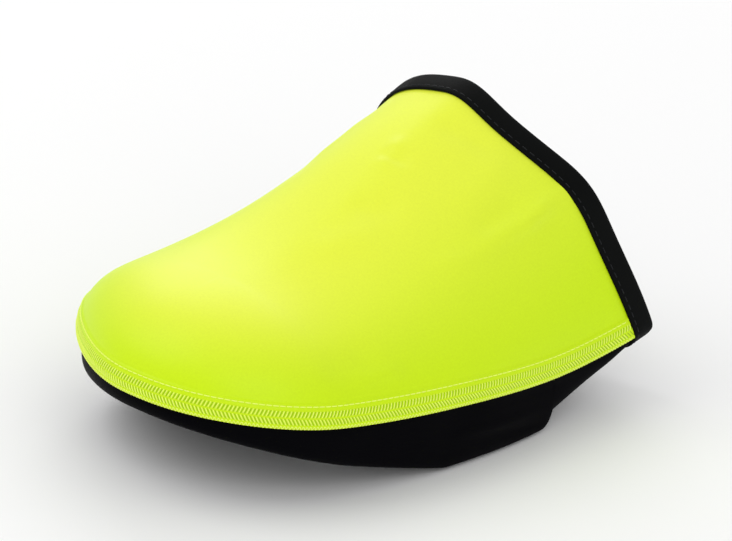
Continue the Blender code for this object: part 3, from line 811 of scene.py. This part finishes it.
def makeBase():
    shape = baseShape
    whole = collarPlace(np.array(1.0), 0.0) - form["toeReach"] - edgeInTape
    roundTurns = quarter * np.arange(shape["lipRibs"] + 1) / shape["lipRibs"]
    pastLip = np.array(shape["pastLip"]) / 1000
    lipSteps = np.concatenate((-form["lipRadius"] * (1 - np.sin(roundTurns)), pastLip))
    special = (lipPlace + lipSteps - form["toeReach"]) / whole
    even = np.linspace(0, 1, shape["bodyRibs"])
    kept = [share for share in even if np.abs(special - share).min() > shape["ribSpace"] / shape["bodyRibs"]]
    shares = np.sort(np.concatenate((kept, special)))
    points = baseGrid(ringOf(shares, shape["toeRibs"], edgeInTape), shape["wallRows"], shape["soleRows"])
    rows = points.shape[1]
    rowNote = np.broadcast_to(np.arange(rows, dtype=float), points.shape[:2])
    base = gridPiece("baseSkin", points, {"row": rowNote})
    faceOut(base)
    places, normals = meshArrays(base)
    local = places[:, :2] - np.array((form["shiftX"], form["shiftY"]))
    turns = np.linspace(0, 2 * math.pi, 2 * shape["cutterSides"], endpoint=False)
    outline = np.column_stack(cleatPoint(np.cos(turns), np.sin(turns)))
    gap = np.sqrt(((local[:, None, :] - outline[None]) ** 2).sum(axis=2).min(axis=1))
    inHem = 1 - softStep(shape["hemWidth"] - shape["hemEdge"], shape["hemWidth"] + shape["hemEdge"], gap)
    onPad = 1 - softStep(*shape["padFade"], places[:, 2])
    lift = shape["hemLift"] * (inHem - onPad) * softStep(*shape["facingDown"], -normals[:, 2])
    lift = np.where(noteOf(base, "row") < shape["lapRows"], 0, lift + creaseLift(places, baseCreases))
    moveOut(base, lift)
    base.data.materials.append(baseCloth)
    applyModifier(base, "SOLIDIFY", thickness=form["baseWall"], offset=-1, use_rim=True)
    bpy.ops.object.select_all(action="DESELECT")
    bpy.ops.mesh.primitive_cylinder_add(vertices=shape["cutterSides"], radius=1, depth=shape["cutterDepth"])
    cutter = bpy.context.object
    for vertex in cutter.data.vertices:
        x, y = cleatPoint(vertex.co.x, vertex.co.y)
        vertex.co.x, vertex.co.y = form["shiftX"] + x, form["shiftY"] + y
    applyModifier(base, "BOOLEAN", operation="DIFFERENCE", solver="EXACT", object=cutter)
    bpy.data.objects.remove(cutter, do_unlink=True)
    smoothShade(base, shape["sharpAngle"])
    return base


baseSkin = makeBase()
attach(baseSkin, "root")
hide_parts("base")
print("base made:", len(baseSkin.data.polygons), "faces")

# The elastic tape folded over the collar edge. Each row of a face is a distance in millimetres,
# from the tape's front edge or from its fold, and a height as a share of the tape's thickness.
tapeShape = {
    "stations": 460, "soften": 3.0, "overSteps": 160, "wallRows": 24, "soleRows": 30, "strands": 9,
    "lapAngle": 0.20, "foldSteps": (0.25, 0.5, 0.75), "sharpAngle": 60,
    "frontFace": ((0, 0.40), (0.12, 0.72), (0.4, 0.96), (0.9, 1.0), (1.4, 0.93), (1.9, 1.0)),
    "foldFace": ((4.2, 1.04), (3.0, 1.04), (1.8, 1.0), (1.0, 0.92), (0.5, 0.74), (0.2, 0.45), (0.05, 0.05)),
}


def tapeStrands(backColumn):
    # points on the skin for each distance before the edge: over the upper, then back under the base
    angles = np.linspace(0, 1, tapeShape["overSteps"]) * quarter
    shapeOf = (len(angles), len(backColumn))

    def overSide(side):
        rib = (np.full(shapeOf, float(side)), np.ones(shapeOf), np.ones(shapeOf),
               np.broadcast_to(backColumn, shapeOf))
        return skin(rib, np.broadcast_to(angles[:, None], shapeOf))

    over = np.concatenate((overSide(outerSide), overSide(innerSide)[::-1][1:]))
    ahead = backColumn[-1] + (backColumn[-1] - backColumn[-2]) * np.arange(1, 4)
    ringBacks = np.concatenate((backColumn, ahead))
    ones = np.ones(len(ringBacks))
    both = np.ones(2 * len(ringBacks))
    ribs = (np.concatenate((ones, -ones)), both, both, np.concatenate((ringBacks, ringBacks[::-1])))
    grid = baseGrid(ribs, tapeShape["wallRows"], tapeShape["soleRows"])
    outerPart = grid[:len(backColumn), baseShape["lapRows"]:]
    innerPart = grid[::-1][:len(backColumn), baseShape["lapRows"]:]
    under = np.concatenate((np.swapaxes(innerPart, 0, 1), np.swapaxes(outerPart, 0, 1)[::-1][1:]))
    depths = np.concatenate((np.full(len(over), form["upperWall"]), np.full(len(under), form["baseWall"])))
    angleOf = np.concatenate((angles, angles[::-1][1:]))
    low = angleOf < tapeShape["lapAngle"]
    depths[:len(over)][low] = form["upperWall"] + form["clearance"] + form["baseWall"]
    return np.concatenate((over, under)), depths


def evenLoop(strands, depths, stations):
    # the loop's stations spaced evenly, by length along its middle strand
    middle = strands[:, strands.shape[1] // 2]
    closed = np.concatenate((middle, middle[:1]))
    lengths = np.concatenate(([0], np.cumsum(np.linalg.norm(np.diff(closed, axis=0), axis=1))))
    targets = np.linspace(0, lengths[-1], stations, endpoint=False)
    full = np.concatenate((strands, strands[:1]))
    fullDepth = np.concatenate((depths, depths[:1]))
    even = np.empty((stations,) + strands.shape[1:])
    for m in range(strands.shape[1]):
        for axis in range(3):
            even[:, m, axis] = np.interp(targets, lengths, full[:, m, axis])
    return even, np.interp(targets, lengths, fullDepth)


def loopSmooth(values, sigma):
    reach = int(4 * sigma) + 1
    offsets = np.arange(-reach, reach + 1)
    weights = np.exp(-(offsets / sigma) ** 2 / 2)
    weights /= weights.sum()
    return sum(weight * np.roll(values, int(offset), axis=0) for offset, weight in zip(offsets, weights))


def tapeFrames():
    backs = np.linspace(0, form["tapeWidth"], tapeShape["strands"])
    strands, depths = tapeStrands(backs)
    even, depth = evenLoop(strands, depths, tapeShape["stations"])
    even = loopSmooth(even, tapeShape["soften"])
    depth = loopSmooth(depth, tapeShape["soften"])
    wrapped = np.concatenate((even[-1:], even, even[:1]))
    along = wrapped[2:] - wrapped[:-2]
    across = np.gradient(even, axis=1)
    normals = np.cross(along, across)
    normals /= np.linalg.norm(normals, axis=-1, keepdims=True)
    centre = even.mean(axis=(0, 1))
    if np.einsum("ijk,ijk->ij", normals, even - centre).sum() < 0:
        normals = -normals
    return even, normals, depth


tapeSkin, tapeNormals, tapeDepth = tapeFrames()


def onTape(back, lift, inside=False):
    # points round the loop at one distance before the edge, lifted off the skin on one side
    spaces = tapeShape["strands"] - 1
    slot = back / form["tapeWidth"] * spaces
    k = min(int(slot), spaces - 1)
    part = slot - k
    places = tapeSkin[:, k] * (1 - part) + tapeSkin[:, k + 1] * part
    normals = tapeNormals[:, k] * (1 - part) + tapeNormals[:, k + 1] * part
    if inside:
        return places - normals * (tapeDepth[:, None] + lift)
    return places + normals * lift


def makeTape():
    thick, gap, width = form["tapeThickness"], form["clearance"], form["tapeWidth"]
    face = [(width - back / 1000, high) for back, high in tapeShape["frontFace"]]
    face += [(back / 1000, high) for back, high in tapeShape["foldFace"]]
    section = [onTape(back, gap + thick * high) for back, high in face]
    section += [onTape(0.0, -tapeDepth[:, None] * share) for share in tapeShape["foldSteps"]]
    section += [onTape(back, gap + thick * high, True) for back, high in reversed(face)]
    section += [onTape(width, gap, True), onTape(thick + gap, gap, True)]
    section += [onTape(thick + gap, gap), onTape(width, gap)]
    loop = np.stack(section, axis=1)
    loop = np.concatenate((loop, loop[:1]))
    loop = np.concatenate((loop, loop[:, :1]), axis=1)
    tape = gridPiece("collarTape", loop)
    tape.data.materials.append(tapeCloth)
    smoothShade(tape, tapeShape["sharpAngle"])
    return tape


def openOutTape(tape):
    # the loop's outer face must look away from the collar's middle
    places, normals = meshArrays(tape)
    top = places[:, 2] > places[:, 2].max() - 0.001
    if normals[top, 2].mean() < 0:
        turnFaces(tape)


collarTape = makeTape()
openOutTape(collarTape)
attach(collarTape, "root")
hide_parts("collar_binding")
print("tape made:", len(collarTape.data.polygons), "faces")


# Threads on the band and on the tape.
seamBodyRibs, seamToeRibs = 300, 200
normalReach = 0.0006


def seamPath():
    # the seam's ribs round the cover, with the distance of each from the toe tip's rib
    back = form["tapeWidth"] + form["clearance"] + stitchShape["tapeGap"]
    ribs = ringOf(np.linspace(0, 1, seamBodyRibs), seamToeRibs, back)
    return ribs, seamTravel(ribs)


seamRibs, seamLengths = seamPath()


def onBand(travel, up, lift):
    # points on the band at a distance round the seam and a height above its edge, or below it
    slot = np.interp(travel, seamLengths, np.arange(len(seamLengths)))
    k = np.clip(slot.astype(int), 0, len(seamLengths) - 2)
    part = (slot - k)[:, None]
    foot = np.maximum(up, 0)
    places = []
    for step in (k, k + 1):
        ribs = tuple(column[step] for column in seamRibs)
        places.append((skin(ribs, angleAt(ribs, foot)), skin(ribs, angleAt(ribs, foot + normalReach))))
    low = places[0][0] * (1 - part) + places[1][0] * part
    high = places[0][1] * (1 - part) + places[1][1] * part
    climb = (high - low) / np.linalg.norm(high - low, axis=1, keepdims=True)
    low = low + climb * np.minimum(up, 0)[:, None]
    level = places[1][0] - places[0][0]
    normals = np.cross(level, climb)
    normals /= np.linalg.norm(normals, axis=1, keepdims=True)
    outward = np.einsum("ij,ij->i", normals, low - middlePoint)
    normals *= np.sign(np.where(outward == 0, 1, outward))[:, None]
    return placed(low + normals * lift[:, None])


def makeBandStitches():
    shape = stitchShape
    first, final = seamLengths[0] + shape["endGap"], seamLengths[-1] - shape["endGap"]
    travel = np.arange(first, final, shape["topPitch"] / 6)
    wave = np.cos(2 * math.pi * travel / shape["topPitch"])
    proud = upperShape["bandLift"]
    topLift = proud - shape["topSunk"] + shape["topRise"] * softStep(-0.9, 0.0, wave)
    paths = [(onBand(travel, np.full(len(travel), shape["topLine"]), topLift), False)]
    pitch = shape["rowPitch"]
    for low, high, slant, lag in shape["rows"]:
        numbers = np.arange(math.ceil(first / pitch) + 1, math.floor(final / pitch) - 1)
        steps, lifts = np.array(shape["rowSteps"]).T
        ups = low + (high - low) * steps
        # each stitch lies half a pitch from the gaps, whose slant it follows, and returns inside
        travels = (numbers[:, None] + 0.5 - lag) * pitch - slant * ups[None]
        path = onBand(travels.ravel(), np.tile(ups, len(numbers)), np.tile(proud + lifts, len(numbers)))
        paths.append((path, False))
    travel = np.arange(first, final, pitch / 4)
    low, high = shape["edgeLow"], shape["edgeHigh"]
    up = (high + low) / 2 + (high - low) / 2 * np.cos(2 * math.pi * travel / pitch)
    edgeLift = proud - shape["edgeSunk"] + shape["edgeRise"] * softStep(low, high, up)
    paths.append((onBand(travel, up, edgeLift), False))
    stitches = threadPiece("bandStitches", paths, shape["thread"])
    stitches.data.materials.append(neonThread)
    return stitches


def makeTapeStitches():
    shape = stitchShape
    steps = 8
    paths = []
    for inside in (False, True):
        lifts = [form["clearance"] + form["tapeThickness"] * shape[high] for high in ("tapeProud", "tapeSunk")]
        line, inner = (onTape(shape["tapeLine"], lift, inside) for lift in lifts)
        closedLine = np.concatenate((line, line[:1]))
        closedInner = np.concatenate((inner, inner[:1]))
        lengths = np.concatenate(([0], np.cumsum(np.linalg.norm(np.diff(closedLine, axis=0), axis=1))))
        turns = round(lengths[-1] / shape["tapePitch"])
        travel = np.linspace(0, lengths[-1], turns * steps, endpoint=False)
        wave = softStep(-0.9, -0.2, np.cos(2 * math.pi * np.arange(len(travel)) / steps))[:, None]
        out = np.stack([np.interp(travel, lengths, closedLine[:, a]) for a in range(3)], axis=1)
        deep = np.stack([np.interp(travel, lengths, closedInner[:, a]) for a in range(3)], axis=1)
        paths.append((placed(deep + (out - deep) * wave), True))
    stitches = threadPiece("tapeStitches", paths, shape["tapeThread"])
    stitches.data.materials.append(blackThread)
    return stitches


bandStitches = makeBandStitches()
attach(bandStitches, "root")
tapeStitches = makeTapeStitches()
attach(tapeStitches, "root")
print("threads made:", len(bandStitches.data.polygons), len(tapeStitches.data.polygons), "faces")

# Floor, soft light and the camera at the photograph's angle.
studio = {
    "floorColour": (0.95, 0.95, 0.95), "floorSize": 40, "floorDrop": 0.0002, "worldLight": 0.68,
    "lights": (
        ("keyLight", 5.0, 1.1, (-0.70, -0.60, 1.15)),
        ("backLight", 5.0, 1.0, (-0.85, 0.95, 0.75)),
        ("fillLight", 5.0, 1.0, (1.10, -0.70, 0.80)),
    ),
}


def makeStudio():
    bpy.ops.object.select_all(action="DESELECT")
    bpy.ops.mesh.primitive_plane_add(size=studio["floorSize"], location=(0, 0, -studio["floorDrop"]))
    floor = bpy.context.object
    floor.name = "paleFloor"
    paint = bpy.data.materials.new("paleFloor")
    paint.use_nodes = True
    shader = paint.node_tree.nodes["Principled BSDF"]
    shader.inputs["Base Color"].default_value = (*studio["floorColour"], 1)
    shader.inputs["Roughness"].default_value = 0.9
    shader.inputs["Specular IOR Level"].default_value = 0.1
    floor.data.materials.append(paint)
    bpy.ops.object.transform_apply(location=True, rotation=True, scale=True)
    world = bpy.data.worlds.new("studio")
    world.use_nodes = True
    world.node_tree.nodes["Background"].inputs["Color"].default_value = (1, 1, 1, 1)
    world.node_tree.nodes["Background"].inputs["Strength"].default_value = studio["worldLight"]
    bpy.context.scene.world = world
    for name, power, size, place in studio["lights"]:
        lamp = bpy.data.lights.new(name, "AREA")
        lamp.energy = power
        lamp.size = size
        light = bpy.data.objects.new(name, lamp)
        aim = (-Vector(place)).to_track_quat("-Z", "Y")
        light.matrix_world = Matrix.Translation(place) @ aim.to_matrix().to_4x4()
        bpy.context.scene.collection.objects.link(light)


# The photograph's camera, turned to the cover and drawn in by a longer lens. The turn is in the
# photograph's pixels, off its middle, over the distance in pixels that its own lens comes to.
cameraView = {
    "right": (0.7405511, 0.67006551, 0.05095377), "up": (-0.29541243, 0.25650579, 0.92029141),
    "back": (0.6035856, -0.69657519, 0.38790132), "place": (1.84109, -2.03703, 1.23764),
    "aimPixels": (-102, -68), "lensPixels": 6114.36, "lens": 539.5, "sensor": 36, "reach": 100,
}


def makeCamera():
    view = cameraView
    right, up, back = Vector(view["right"]), Vector(view["up"]), Vector(view["back"])
    aimRight, aimUp = (pixels / view["lensPixels"] for pixels in view["aimPixels"])
    newBack = -(-back + right * aimRight + up * aimUp).normalized()
    newRight = up.cross(newBack).normalized()
    newUp = newBack.cross(newRight).normalized()
    lens = bpy.data.cameras.new("photoCamera")
    lens.lens = view["lens"]
    lens.sensor_width = view["sensor"]
    lens.clip_end = view["reach"]
    camera = bpy.data.objects.new("photoCamera", lens)
    turn = Matrix((newRight, newUp, newBack)).transposed()
    camera.matrix_world = Matrix.Translation(view["place"]) @ turn.to_4x4()
    bpy.context.scene.collection.objects.link(camera)
    bpy.context.scene.camera = camera


makeStudio()
makeCamera()
bpy.context.scene.view_settings.view_transform = "Standard"    # keeps the cloth's strong yellow
print("studio and camera made")
